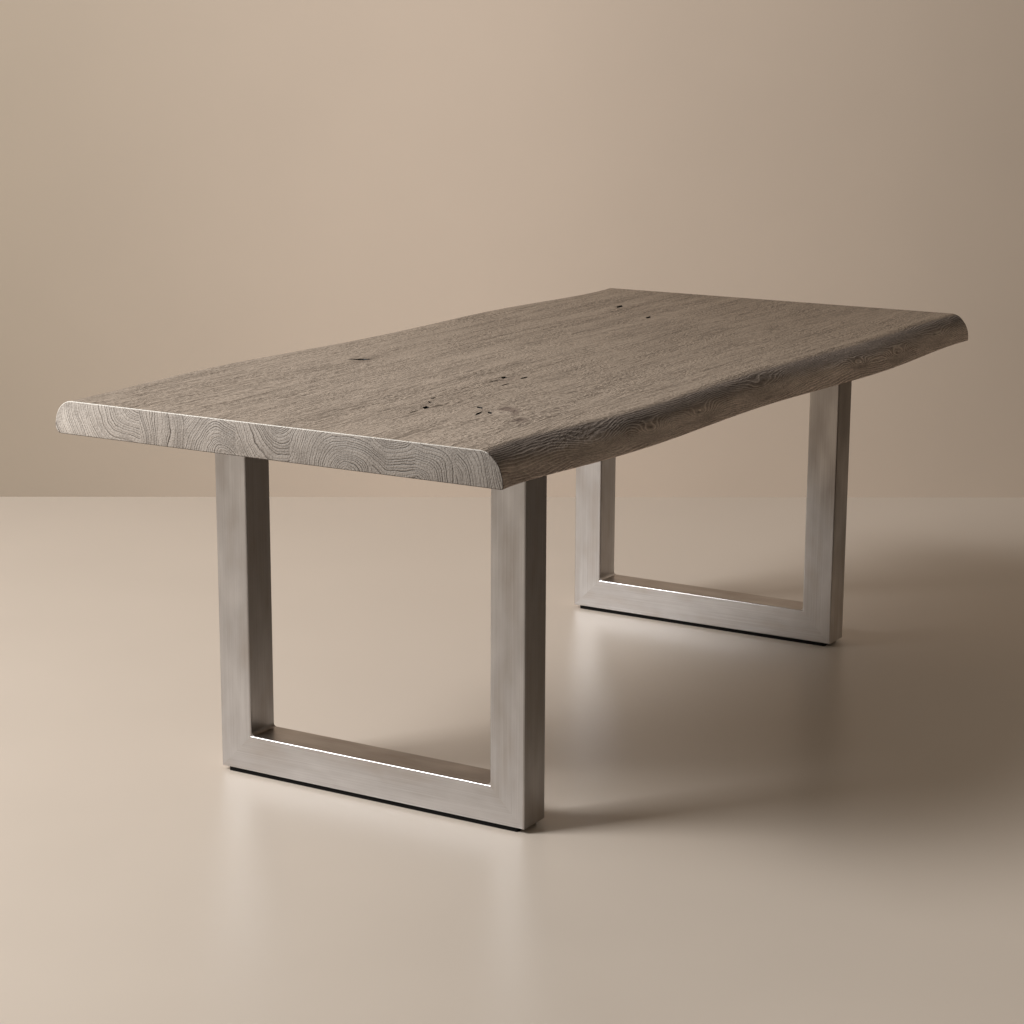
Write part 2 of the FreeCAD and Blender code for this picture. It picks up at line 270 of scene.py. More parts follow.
def new_object(name, maker, *materials):
    """Object in the scene for a finished bmesh."""
    mesh = bpy.data.meshes.new(name)
    maker.to_mesh(mesh)
    maker.free()
    for material in materials:
        mesh.materials.append(material)
    return in_scene(name, mesh)


def cut_with(piece, cutters):
    """Cut a bmesh of closed cutters out of a piece for good."""
    cutter = new_object("cutters", cutters)
    mesh = cutter.data
    modifier = piece.modifiers.new("cut", "BOOLEAN")
    modifier.operation = "DIFFERENCE"
    modifier.solver = "EXACT"
    modifier.use_self = True
    modifier.object = cutter
    shapes = bpy.context.evaluated_depsgraph_get()
    old = piece.data
    size = piece.dimensions.copy()
    piece.data = bpy.data.meshes.new_from_object(piece.evaluated_get(shapes))
    piece.modifiers.clear()
    bpy.data.objects.remove(cutter)
    bpy.data.meshes.remove(mesh)
    bpy.data.meshes.remove(old)
    corners = [Vector(corner) for corner in piece.bound_box]
    if (corners[6] - corners[0] - size).length > MM:
        raise RuntimeError("the cracks swallowed " + piece.name)


def add_crack(cutters, top, x, y, length, width, turn, lean):
    """Lens with ragged sides that reaches from above the top down into the wood."""
    ring = bmesh.ops.create_circle(cutters, cap_ends=True, segments=20, radius=1)["verts"]
    for vertex in ring:
        ragged = 1 + CRACK_RAGGED * noise.noise(Vector((x, y, 2.7 * vertex.co.x + 5 * vertex.co.y)))
        taper = (1 - abs(vertex.co.x) ** 1.5) * (1 + lean * vertex.co.x)
        vertex.co.y *= taper * ragged
    turned = Matrix.Translation((x * MM, y * MM, top + MM)) @ Matrix.Rotation(math.radians(turn), 4, "Z")
    sized = turned @ Matrix.Diagonal((length * MM / 2, width * MM / 2, 1, 1))
    bmesh.ops.transform(cutters, matrix=sized, verts=ring)
    walls = bmesh.ops.extrude_face_region(cutters, geom=[ring[0].link_faces[0]])["geom"]
    floor = [item for item in walls if isinstance(item, bmesh.types.BMVert)]
    narrow = turned @ Matrix.Diagonal((*CRACK_FLOOR, 1, 1)) @ turned.inverted()
    bmesh.ops.transform(cutters, matrix=narrow, verts=floor)
    for vertex in floor:
        vertex.co.z = top - min(width, CRACK_FULL_WIDTH) * CRACK_DEPTH * MM


def crack_cutters(low, high):
    """Cutters for the cracks that reach into one board, or None."""
    cutters = bmesh.new()
    crack_painted_shade = cutters.faces.layers.float.new("crack_painted_shade")
    for crack in CRACKS:
        reach = crack[2] / 2 * MM
        if low.y - reach < crack[1] * MM < high.y + reach:
            add_crack(cutters, high.z, *crack)
    # Each crack's inside is marked for painted shade.
    for face in cutters.faces:
        face[crack_painted_shade] = 1
    if not cutters.verts:
        cutters.free()
        return None
    bmesh.ops.recalc_face_normals(cutters, faces=cutters.faces)
    bmesh.ops.triangulate(cutters, faces=cutters.faces)
    return cutters


def new_board(board, name, material, node):
    """Piece for a finished bmesh that rides with the table and stands for a packed board, with its cracks."""
    piece = new_object(name, board, material)
    piece.data.shade_smooth()
    piece.data.set_sharp_from_angle(angle=SHARP_ANGLE)
    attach(piece, "root")
    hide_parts(node)
    cutters = crack_cutters(*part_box(node))
    if cutters:
        cut_with(piece, cutters)
    return piece


def waves(place, sizes, shift):
    """Smooth noise with features of these sizes."""
    return noise.noise(Vector((place.x / sizes[0], place.y / sizes[1], place.z / sizes[2] + shift)))


def relief_depth(place, knots, depth):
    """How far the natural edge lies below its smooth shape: long ridges and the hollows of its knots."""
    low = 0.5 + 0.42 * waves(place, *RIDGES) + 0.2 * waves(place, *RIPPLES) - 0.3 * abs(waves(place, *GROOVES))
    for x, y, z, size_x, size_y, size_z, pull in knots:
        across = Vector(((place.x / MM - x) / size_x, (place.z / MM - z) / size_z))
        away = across.length_squared * 5
        low += 0.5 * math.exp(-away) - 0.35 * math.exp(-away / 3)
    return depth * min(max(low, 0), 1.3)


def outline_point(step, width, curve, rounding, bottom, top):
    """One point of an outer board's outline: y from the glue joint, z, and the share of the relief there."""
    if step < FLAT:
        return (width - curve - CREST_HIGHLIGHT_WIDTH) * step / (FLAT - 1), top, 0
    if step == FLAT:
        return width - curve, top, 0
    if step <= FLAT + CURVED:
        turn = math.pi / 2 * (step - FLAT) / CURVED
        drop = (top - bottom - rounding) * math.cos(turn)
        return width - curve + curve * math.sin(turn), bottom + rounding + drop, 1
    if step <= FLAT + CURVED + UNDER:
        share = (step - FLAT - CURVED) / UNDER
        turn = math.pi / 2 * share
        y = width - rounding + rounding * math.cos(turn)
        return y, bottom + rounding - rounding * math.sin(turn), 1 - share
    if step < AROUND:
        return max((width - rounding) * (AROUND - 1 - step) / BELOW, 0), bottom, 0
    return 0, top, 0


def live_edge_board(side, material, settings):
    """Outer board with the natural edge of the tree."""
    node = side + "_live_edge_board"
    low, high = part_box(node)
    shape = LIVE_EDGES[side]
    outward = shape["outward"]
    joint = low.y if outward > 0 else high.y
    board = bmesh.new()
    natural = board.verts.layers.float.new("natural_edge")
    crest = board.verts.layers.float.new("crest")
    bmesh.ops.create_grid(board, x_segments=ALONG, y_segments=AROUND, size=1)
    for vertex in board.verts:
        share = (vertex.co.x + 1) / 2
        step = round((vertex.co.y + 1) / 2 * AROUND)
        width = smooth_line(shape["widths"], share) * MM
        curve = smooth_line(shape["curve_widths"], share) * MM
        x = low.x + share * (high.x - low.x)
        y, z, relief = outline_point(step, width, curve, shape["under_rounding"] * MM, low.z, high.z)
        # The crest attribute ramps up across the strip that gets a painted highlight.
        if step == FLAT:
            vertex[crest] = 1
        if relief:
            finish = min(max((high.z - z - FINISH_START) / FINISH_RISE, 0), 1)
            vertex[natural] = finish * min(relief * 2, 1)
            rise = min(max((high.z - z) / RELIEF_RISE, 0), 1)
            place = Vector((x, joint + outward * y, z))
            y -= relief_depth(place, KNOTS[node], settings.relief) * rise * relief
        vertex.co = (x, joint + outward * y, z)
    bmesh.ops.remove_doubles(board, verts=board.verts, dist=1e-6)
    rim = [edge for edge in board.edges if edge.is_boundary]
    bmesh.ops.edgeloop_fill(board, edges=rim)
    bmesh.ops.recalc_face_normals(board, faces=board.faces)
    glued = [edge for edge in rim if all(abs(vertex.co.y - joint) < 1e-6 for vertex in edge.verts)]
    ends = [edge for edge in rim if edge not in glued]
    ease(board, ends, settings.arris_radius, high.z - shape["rubbed_depth"] * MM)
    return new_board(board, side + "_live_edge_wood", material, node)


def ease(board, edges, radius, rubbed_down_to):
    """Round edges of a board and mark the new faces: pale above a height, as worn bare wood with a painted
    highlight, and painted shade below it.
    """
    worn = board.faces.layers.float.new("arris_wear_light_shade")
    made = bmesh.ops.bevel(
        board, geom=edges, offset=radius, offset_type="OFFSET", affect="EDGES", segments=3, profile=0.5,
        material=-1, clamp_overlap=True)
    for face in made["faces"]:
        face[worn] = 1 if face.calc_center_median().z > rubbed_down_to else -1


def inner_board(number, material, settings):
    """Glued inner board with eased ends."""
    node = "top_board_%d" % number
    low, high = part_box(node)
    board = bmesh.new()
    size = high - low
    place = Matrix.Translation((low + high) / 2) @ Matrix.Diagonal((size.x, size.y, size.z, 1))
    bmesh.ops.create_cube(board, size=1, matrix=place)
    ends = [edge for edge in board.edges if abs((edge.verts[0].co - edge.verts[1].co).normalized().y) > 0.9]
    ease(board, ends, settings.arris_radius, (low.z + high.z) / 2)
    return new_board(board, node + "_wood", material, node)


# ---- Materials ----

# Patterns of the wood. Those on fibres bend with the grain and part round the knots. Length along the grain and
# width across it are in millimetres, and two values of the noise are drawn out to two levels. Real pores are
# 0.3 mm wide, which doesn't show, so they are drawn as dashes 4 mm wide.
PATTERNS = {
    # name: (on fibres, length, width, detail, seed, (low value, high value, low level, high level))
    "fibre": (True, 130, 7, 3, 9, None),
    "streaks": (True, 460, 34, 3, 20, None),
    "clouds": (False, 300, 150, 2, 25, None),
    # Vessels filled with dark wax draw thin lines, where the wax stayed.
    "lines": (True, 300, 10, 2, 31, (0.5, 0.68, 0, 1)),
    "waxed": (False, 240, 60, 2, 35, (0.4, 0.62, 0.2, 1)),
    # Pores, where the brush raised them, and pale strands that it raised, pale partly as painted glints
    "pores": (True, 11, 4, 1, 12, (0.41, 0.59, 0, 1)),
    "brushed": (True, 170, 60, 2, 44, (0.38, 0.62, 0.4, 0.9)),
    "strands_and_glints": (True, 80, 4.4, 1, 48, (0.48, 0.64, 0.25, 1.25)),
    # Sawn ends: a fine grain of cut vessels, and where the rings stand out
    "vessels": (False, 40, 3.2, 1, 50, (0.36, 0.64, 0, 1)),
    "distinct": (False, 400, 42, 2, 54, (0.36, 0.6, 0.35, 1.1)),
    # Natural edges: where the contour lines stand out, and remains of the bark
    "lively": (False, 120, 40, 2, 61, (0.36, 0.56, 0.55, 1)),
    "bark": (True, 8, 2.4, 1, 70, (0.36, 0.64, 0, 1)),
}

# Slow changes over the table: direction, where they start and end along it in millimetres, and the levels there
CHANGES = {
    # name: (direction, start, end, first level, last level)
    # The pale strands, partly painted glints of the raised grain, fade towards the right.
    "strands_and_glints": ((1, 0, 0), -600, -200, 1, 0.35),
    # Painted shade darkens the natural edges under their crest, and painted light makes them paler at
    # their foot. The front one is painted paler to the right too, as painted light.
    "crest": ((0, 0, 1), 734, 756, 0.5, 1),
    "edge_shade_to_light": ((0, 0, 1), 751, 722, 0, 1),
    "right": ((1, 0, 0), -700, -100, 0, 1),
    # On the sawn ends the young rings at the back edge are pale, and painted shade darkens the ends
    # towards the front.
    "young": ((0, 1, 0), 300, 480, 0, 0.6),
    "end_painted_shade": ((0, 1, 0), -450, 300, 0.61, 1),
    # Painted shade darkens the top towards its right end and its front.
    "painted_falloff": ((1, -0.6, 0), -700, 900, 0, 1),
    # The pale arris, worn bare wood with a painted highlight, is paler towards the back.
    "rubbed": ((0, 1, 0), -430, -50, 0.55, 0.95),
}
FALLOFF_SHADE_TINT = (0.71, 0.665, 0.61)

# Painted light and shade of the natural edges: how many times paler at crest, foot and right end
EDGE_CREST_SHADE = 0.5
EDGE_FOOT_LIGHT = {"front": 1.55, "back": 0.85}
EDGE_RIGHT_LIGHT = {"front": 1.36, "back": 1}

# Waves of the trunk and of its fibres: length, width, detail, and how far they go, in millimetres
WAVES = ((700, 140, 1, 60), (120, 45, 2, 15))

# Contour lines of the natural edges: lines to a millimetre inwards and upwards, lines to a millimetre of a
# knot's bulge, and the share of a line that is its dark flank
CONTOUR_STEPS = (0.13, 0.22)
CONTOUR_BULGE = 0.26
CONTOUR_FLANK = 0.45

# Waves of the contour lines: length and width in millimetres, detail, and how many lines they move
SWELLS = ((300, 90, 2, 6), (90, 30, 1, 0.8))

# Knots, in shares of their radii: how far the swirl reaches, how far the fibres part, and where the dark eye
# starts to fade and where it ends
SWIRL_REACH = 1.4
SWIRL_PARTING = 0.9
EYE_EDGE = (0.05, 0.18)
EYE_DARK = 0.6

# Where a stain starts to fade and where it ends, in shares of its half length and half width
STAIN_EDGE = (0.55, 1.25)

# How dark a ring is at both its ends, and at shares of its width between them
RING_START = (0.6, 0.6, 0.6, 1)
RING_TONES = ((0.1, 0.14), (0.62, 0.2), (0.8, 0.5), (0.91, 1.0))

# Brown smoke on the steel, also painted shade on one upright, and painted shade on its upward faces
SMOKE_AND_SHADE_TINT = (1.07, 0.99, 0.9)
TOP_SHADE_TINT = (0.66, 0.61, 0.56)


def put(tree, kind, sockets=None, **settings):
    """Add one node. sockets gives its inputs by name or number: as values, as outputs to link, or as nodes
    whose first output in use is linked. A Mix node's inputs 2 and 3 are numbers, and 6 and 7 are colours."""
    made = tree.nodes.new("ShaderNode" + kind)
    for name, value in settings.items():
        setattr(made, name, value)
    for key, value in (sockets or {}).items():
        if isinstance(value, bpy.types.Node):
            value = next(output for output in value.outputs if output.enabled)
        if isinstance(value, bpy.types.NodeSocket):
            tree.links.new(value, made.inputs[key])
        else:
            made.inputs[key].default_value = value
    return made


def new_material(name):
    """Node material, its empty tree, and the place of each point of the object in metres."""
    material = bpy.data.materials.new(name)
    material.use_nodes = True
    tree = material.node_tree
    tree.nodes.clear()
    return material, tree, put(tree, "TexCoord").outputs["Object"]


def finish_material(tree, surface, height, bump_strength, bump_distance):
    """Give a surface its bump and its output."""
    bump = put(tree, "Bump", {"Strength": bump_strength, "Distance": bump_distance, "Height": height})
    tree.links.new(bump.outputs["Normal"], surface.inputs["Normal"])
    put(tree, "OutputMaterial", {"Surface": surface})


def stretched_noise(tree, place, along, across, detail, seed):
    """Noise drawn out along the grain. along and across are the sizes of its features in millimetres."""
    grain = put(tree, "Mapping", {
        "Vector": place, "Location": (seed * 13.7, seed * 7.3, seed * 3.1),
        "Scale": (1 / along, 1 / across, 1 / across)})
    return put(tree, "TexNoise", {"Vector": grain, "Scale": 1.0, "Detail": detail, "Roughness": 0.55})


def weighed(tree, level, *parts):
    """Level plus each pattern's difference from its middle of 0.5, times its weight."""
    total = level - sum(weight for pattern, weight in parts) / 2
    for pattern, weight in parts:
        total = put(tree, "Math", {0: pattern, 1: weight, 2: total}, operation="MULTIPLY_ADD")
    return put(tree, "Math", {0: total, 1: 0.0}, operation="ADD", use_clamp=True)


def faded(tree, pattern, mask):
    """Pattern whose difference from its middle of 0.5 is held back by a mask."""
    offset = put(tree, "Math", {0: pattern, 1: 0.5}, operation="SUBTRACT")
    return put(tree, "Math", {0: offset, 1: mask, 2: 0.5}, operation="MULTIPLY_ADD")


def tinted(tree, color, share, tint):
    """Colour that a tint multiplies where share is 1, and leaves alone where it is 0."""
    tint = put(tree, "Mix", {"Factor": share, 6: (1, 1, 1, 1), 7: (*tint, 1)}, data_type="RGBA")
    return put(tree, "VectorMath", {0: color, 1: tint}, operation="MULTIPLY")


def trunk_place(tree, place, node, seed):
    """Where in the trunk each point of a board lies, how far the rings bulge there, and how dark a knot is
    there. The trunk wanders by centimetres over its length, its fibres waver, and they part round each knot."""
    bent = place
    for along, across, detail, reach in WAVES:
        drift = stretched_noise(tree, place, along, across, detail, seed + along)
        drift = put(tree, "VectorMath", {
            0: drift.outputs["Color"], 1: (0, reach, reach), 2: (0, -reach / 2, -reach / 2)},
            operation="MULTIPLY_ADD")
        bent = put(tree, "VectorMath", {0: bent, 1: drift}, operation="ADD")
    bulge = eyes = 0.0
    for x, y, z, size_x, size_y, size_z, pull in KNOTS[node]:
        away = put(tree, "VectorMath", {
            0: place, 1: (1 / size_x, 1 / size_y, 1 / size_z),
            2: (-x / size_x, -y / size_y, -z / size_z)}, operation="MULTIPLY_ADD")
        distance = put(tree, "VectorMath", {0: away}, operation="LENGTH")
        near = put(tree, "MapRange", {
            "Value": distance, "From Max": SWIRL_REACH, "To Min": pull, "To Max": 0},
            interpolation_type="SMOOTHSTEP")
        bulge = put(tree, "Math", {0: near, 1: bulge}, operation="ADD")
        eye = put(tree, "MapRange", {
            "Value": distance, "From Min": EYE_EDGE[0], "From Max": EYE_EDGE[1], "To Min": EYE_DARK,
            "To Max": 0})
        eyes = put(tree, "Math", {0: eye, 1: eyes}, operation="ADD")
        parted = put(tree, "VectorMath", {0: away, "Scale": near}, operation="SCALE")
        bent = put(tree, "VectorMath", {
            0: parted, 1: (0, -SWIRL_PARTING, -SWIRL_PARTING), 2: bent}, operation="MULTIPLY_ADD")
    return bent, bulge, eyes


def growth_rings(tree, radius, ring_width):
    """Rings of unequal width, each pale at first and dark in a thin line at its end, fine lines between them,
    and groups of rings. Single rings are too narrow to show on the flat top, so dark groups of them are drawn
    15 mm apart there."""
    uneven, fine_rings, groups = (
        put(tree, "TexNoise", {
            "W": radius, "Scale": scale, "Detail": detail, "Roughness": rough}, noise_dimensions="1D")
        for scale, detail, rough in ((0.04, 2, 0.5), (0.7, 1, 0.5), (1 / 15, 3, 0.65)))
    groups = put(tree, "MapRange", {"Value": groups, "From Min": 0.4, "From Max": 0.64})
    counted = put(tree, "Math", {0: radius, 1: MM / ring_width}, operation="MULTIPLY")
    counted = put(tree, "Math", {0: uneven, 1: 4, 2: counted}, operation="MULTIPLY_ADD")
    in_ring = put(tree, "Math", {0: counted}, operation="FRACT")
    late = put(tree, "ValToRGB", {"Fac": in_ring})
    ramp = late.color_ramp.elements
    ramp[0].color = ramp[1].color = RING_START
    for position, level in RING_TONES:
        ramp.new(position).color = (level, level, level, 1)
    number = put(tree, "Math", {0: counted}, operation="FLOOR")
    year = put(tree, "TexWhiteNoise", {"W": number}, noise_dimensions="1D")
    year = put(tree, "MapRange", {"Value": year, "To Min": 0.35, "To Max": 1.15})
    late = put(tree, "Math", {0: late, 1: year}, operation="MULTIPLY")
    return late, fine_rings, groups


def end_rays(tree, place, from_heart, radius):
    """Rays that run out from the heart on the sawn ends, 60 to a radian and about 26 mm long."""
    split = put(tree, "SeparateXYZ", {0: from_heart})
    angle = put(tree, "Math", {0: split.outputs["Y"], 1: split.outputs["Z"]}, operation="ARCTAN2")
    turned = put(tree, "CombineXYZ", {"X": angle, "Y": radius})
    from_end = put(tree, "VectorMath", {0: place, 1: (0, 0, 1 / 30)}, operation="MULTIPLY")
    ray_place = put(tree, "VectorMath", {0: turned, 1: (60, 1 / 26, 1), 2: from_end}, operation="MULTIPLY_ADD")
    return put(tree, "TexNoise", {"Vector": ray_place, "Scale": 1, "Detail": 1})


def edge_contour(tree, place, bent, bulge, inward, seed):
    """Lines of the natural edge. It follows the rings, so they lie on it like the contour lines of a map, 4 mm
    apart, each with a pale sharp rim and a dark flank."""
    depth = put(tree, "VectorMath", {
        0: bent, 1: (0, math.copysign(CONTOUR_STEPS[0], inward), CONTOUR_STEPS[1])}, operation="DOT_PRODUCT")
    for along, across, detail, reach in SWELLS:
        swell = stretched_noise(tree, place, along, across, detail, seed + along)
        depth = put(tree, "Math", {0: swell, 1: reach, 2: depth}, operation="MULTIPLY_ADD")
    depth = put(tree, "Math", {0: bulge, 1: CONTOUR_BULGE, 2: depth}, operation="MULTIPLY_ADD")
    contour = put(tree, "Math", {0: depth}, operation="FRACT")
    return put(tree, "MapRange", {"Value": contour, "From Max": CONTOUR_FLANK})


def washed_oak(name, node, seed, settings):
    """Oak, brushed and washed grey. Its figure is cut from a solid trunk of growth rings, so the ends show
    arcs, the flat top streaks and swirls, and the natural edge contour lines."""
    low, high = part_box(node)
    side = "front" if high.y < 0 else "back"
    heart_y, heart_z = HEARTS[node]
    material, tree, place = new_material(name)
    place = put(tree, "VectorMath", {0: place, "Scale": 1 / MM}, operation="SCALE")
    bent, bulge, eyes = trunk_place(tree, place, node, seed)
    from_heart = put(tree, "VectorMath", {
        0: bent, 1: (0, 1, 1), 2: (0, -heart_y, -heart_z)}, operation="MULTIPLY_ADD")
    radius = put(tree, "VectorMath", {0: from_heart}, operation="LENGTH")
    radius = put(tree, "Math", {0: radius, 1: bulge}, operation="ADD")
    late, fine_rings, groups = growth_rings(tree, radius, settings.ring_width)

    pattern = {}
    for key, (on_fibres, along, across, detail, shift, drawn_out) in PATTERNS.items():
        made = stretched_noise(tree, bent if on_fibres else place, along, across, detail, seed + shift)
        if drawn_out:
            start, end, first, last = drawn_out
            made = put(tree, "MapRange", {
                "Value": made, "From Min": start, "From Max": end, "To Min": first, "To Max": last})
        pattern[key] = made
    change = {}
    for key, (direction, start, end, first, last) in CHANGES.items():
        along = put(tree, "VectorMath", {0: place, 1: direction}, operation="DOT_PRODUCT")
        change[key] = put(tree, "MapRange", {
            "Value": along, "From Min": start, "From Max": end, "To Min": first, "To Max": last})
    on = {
        key: put(tree, "Attribute", attribute_name=key).outputs["Fac"]
        for key in ("natural_edge", "crest", "arris_wear_light_shade", "crack_painted_shade")}

    fibre = pattern["fibre"]
    lines = put(tree, "Math", {0: pattern["lines"], 1: pattern["waxed"]}, operation="MULTIPLY")
    pores = faded(tree, pattern["pores"], pattern["brushed"])
    strands_and_glints = faded(tree, pattern["strands_and_glints"], change["strands_and_glints"])
    late = faded(tree, late, pattern["distinct"])
    lively = put(tree, "Math", {0: pattern["lively"], 1: on["natural_edge"]}, operation="MULTIPLY")
    contour = faded(tree, edge_contour(tree, place, bent, bulge, -heart_y, seed), lively)

    # How dark the wood is on each of its three kinds of surface
    # On the flat top, a painted highlight pales the strip beside the crest.
    face_dark = weighed(
        tree, 0.13, (groups, 0.34), (fibre, 0.7), (pores, 0.75), (strands_and_glints, -0.65), (lines, 0.2),
        (pattern["streaks"], 0.85), (pattern["clouds"], 0.4), (on["crest"], -0.3))
    end_dark = weighed(
        tree, 0.46, (late, 1.25), (fine_rings, 0.45), (end_rays(tree, place, from_heart, radius), -0.4),
        (pattern["clouds"], 0.6), (pattern["vessels"], 0.24))
    # On the natural edges, painted shade darkens the wood under the crest.
    edge_dark = weighed(
        tree, 0.5, (contour, 0.66), (fine_rings, 0.2), (fibre, 0.4), (pattern["streaks"], 0.4),
        (pattern["bark"], 0.18), (change["crest"], 0.5))
    face, end, edge = (
        put(tree, "Mix", {"Factor": dark, 6: (*light, 1), 7: (*deep, 1)}, data_type="RGBA")
        for dark, light, deep in (
            (face_dark, settings.face_light, settings.face_dark),
            (end_dark, settings.end_light, settings.end_dark),
            (edge_dark, settings.edge_light, settings.edge_dark)))

    # Painted light and shade on the natural edges: darker at the crest, paler at the foot and to the right
    painted_edge_light = put(tree, "MapRange", {
        "Value": change["edge_shade_to_light"], "To Min": EDGE_CREST_SHADE, "To Max": EDGE_FOOT_LIGHT[side]},
        interpolation_type="SMOOTHSTEP")
    painted_light_rightward = put(tree, "Math", {0: change["right"], 1: EDGE_RIGHT_LIGHT[side] - 1, 2: 1}, operation="MULTIPLY_ADD")
    painted_edge_light = put(tree, "Math", {0: painted_edge_light, 1: painted_light_rightward}, operation="MULTIPLY")
    edge = put(tree, "VectorMath", {0: edge, "Scale": painted_edge_light}, operation="SCALE")

    sapwood = [young / old for young, old in zip(settings.sapwood, settings.end_light)]
    end = tinted(tree, end, change["young"], sapwood)
    # Painted shade darkens the sawn ends towards the front.
    end = put(tree, "VectorMath", {0: end, "Scale": change["end_painted_shade"]}, operation="SCALE")
    # Painted shade darkens the top towards its right end and its front.
    color = tinted(tree, face, change["painted_falloff"], FALLOFF_SHADE_TINT)

    coats = []
    for x, y, length, width, turn, darker in STAINS:
        if (y + length) * MM <= low.y or (y - length) * MM >= high.y:
            continue
        spot = put(tree, "Mapping", {
            "Vector": bent, "Location": (x, y, 760), "Rotation": (0, 0, math.radians(turn)),
            "Scale": (length / 2, width / 2, 40)}, vector_type="TEXTURE")
        distance = put(tree, "VectorMath", {0: spot}, operation="LENGTH")
        strength = put(tree, "MapRange", {
            "Value": distance, "From Min": STAIN_EDGE[0], "From Max": STAIN_EDGE[1], "To Min": abs(darker),
            "To Max": 0}, interpolation_type="SMOOTHSTEP")
        coats.append((strength, (*(settings.stain if darker > 0 else settings.face_light), 1)))

    # The arris of the sawn ends is pale, as worn bare wood with a painted highlight; the rim below it gets
    # painted shade, and so do the open cracks.
    facing = put(tree, "SeparateXYZ", {0: put(tree, "NewGeometry").outputs["True Normal"]})
    endwise = put(tree, "Math", {0: facing.outputs["X"]}, operation="ABSOLUTE")
    endwise = put(tree, "MapRange", {"Value": endwise, "From Min": 0.6, "From Max": 0.8})
    rubbed, rim_painted_shade = (
        put(tree, "Math", {0: on["arris_wear_light_shade"], 1: share}, operation="MULTIPLY", use_clamp=True)
        for share in (change["rubbed"], -0.8))
    eye_and_rim_shade = (*settings.eye_and_rim_shade, 1)
    coats += [
        (on["natural_edge"], edge), (eyes, eye_and_rim_shade), (endwise, end), (rubbed, (*settings.arris, 1)),
        (rim_painted_shade, eye_and_rim_shade), (on["crack_painted_shade"], (*settings.crack, 1))]
    for share, coat in coats:
        color = put(tree, "Mix", {"Factor": share, 6: color, 7: coat}, data_type="RGBA")

    rough = put(tree, "MapRange", {
        "Value": fibre, "From Min": 0.3, "From Max": 0.7, "To Min": 0.56, "To Max": 0.74})
    surface = put(tree, "BsdfPrincipled", {"Base Color": color, "Roughness": rough, "IOR": 1.5})
    long_height = weighed(
        tree, 0.5, (contour, -0.75), (groups, -0.15), (fibre, -0.4), (pores, -0.6), (strands_and_glints, 0.5))
    end_height = weighed(tree, 0.5, (late, -0.7), (pattern["vessels"], -0.2))
    height = put(tree, "Mix", {"Factor": endwise, 2: long_height, 3: end_height})
    finish_material(tree, surface, height, bump_strength=0.9, bump_distance=2 * MM)
    return material


def ground_steel(name, axis, settings):
    """Stainless steel, ground along axis (0 is x, 1 is y, 2 is z). The grit leaves long fine scratches, and
    the hand leaves soft patches of more and less shine."""
    material, tree, place = new_material(name)
    marks = []
    # Scratches and patches: length and width in millimetres, and roughness of the noise. Real scratches are
    # 0.1 mm wide, which doesn't show, so they are drawn 2 mm wide.
    for along, across, roughness in ((240, 2, 0.6), (130, 45, 0.5)):
        scale = [1 / (across * MM)] * 3
        scale[axis] = 1 / (along * MM)
        drawn_out = put(tree, "Mapping", {"Vector": place, "Scale": scale})
        marks.append(put(tree, "TexNoise", {
            "Vector": drawn_out, "Scale": 1, "Detail": 3, "Roughness": roughness}))
    scratches, patches = marks
    darker = weighed(tree, 0.35, (patches, 1.3), (scratches, 1.0))
    color = put(tree, "Mix", {
        "Factor": darker, 6: (*settings.steel_light, 1), 7: (*settings.steel_dark, 1)}, data_type="RGBA")

    # Painted light makes the frames brighter towards the floor, and the right frame brighter, except the upper
    # part of its front upright, which is painted darker and browner as painted shade. Thin smoke lies on other
    # patches too.
    shine, painted_light_gain, right = (
        put(tree, "MapRange", {
            "Value": put(tree, "VectorMath", {0: place, 1: direction}, operation="DOT_PRODUCT"),
            "From Min": start, "From Max": end, "To Min": first, "To Max": last})
        for direction, start, end, first, last in (
            ((0, 0, 1), 0.05, 0.3, 1.09, 0.9),
            ((0, 1, -0.8), -0.68, -0.42, -0.2, 0.2),
            ((1, 0, 0), -0.1, 0.1, 0, 1)))
    # Painted light level of the steel
    painted_light_level = put(tree, "Math", {0: painted_light_gain, 1: right, 2: shine}, operation="MULTIPLY_ADD")
    color = put(tree, "VectorMath", {0: color, "Scale": painted_light_level}, operation="SCALE")
    # Painted shade on the upper front of the right frame
    upper_painted_shade = put(tree, "MapRange", {"Value": painted_light_gain, "From Min": 0, "From Max": -0.2})
    upper_painted_shade = put(tree, "Math", {0: upper_painted_shade, 1: right}, operation="MULTIPLY")
    smoke_and_shade = put(tree, "MapRange", {"Value": patches, "From Min": 0.5, "From Max": 0.72, "To Max": 0.4})
    smoke_and_shade = put(tree, "Math", {0: smoke_and_shade, 1: upper_painted_shade}, operation="MAXIMUM")
    # Painted shade makes the upward faces of the rails dull and brown.
    facing = put(tree, "SeparateXYZ", {0: put(tree, "NewGeometry").outputs["True Normal"]})
    top_painted_shade = put(tree, "MapRange", {"Value": facing.outputs["Z"], "From Min": 0.85, "From Max": 0.98})
    color = tinted(tree, color, smoke_and_shade, SMOKE_AND_SHADE_TINT)
    color = tinted(tree, color, top_painted_shade, TOP_SHADE_TINT)
    rough = put(tree, "MapRange", {
        "Value": patches, "From Min": 0.3, "From Max": 0.7, "To Min": 0.3, "To Max": 0.42})
    surface = put(tree, "BsdfPrincipled", {"Base Color": color, "Metallic": 1.0, "Roughness": rough})
    finish_material(tree, surface, scratches, bump_strength=0.25, bump_distance=0.1 * MM)
    return material


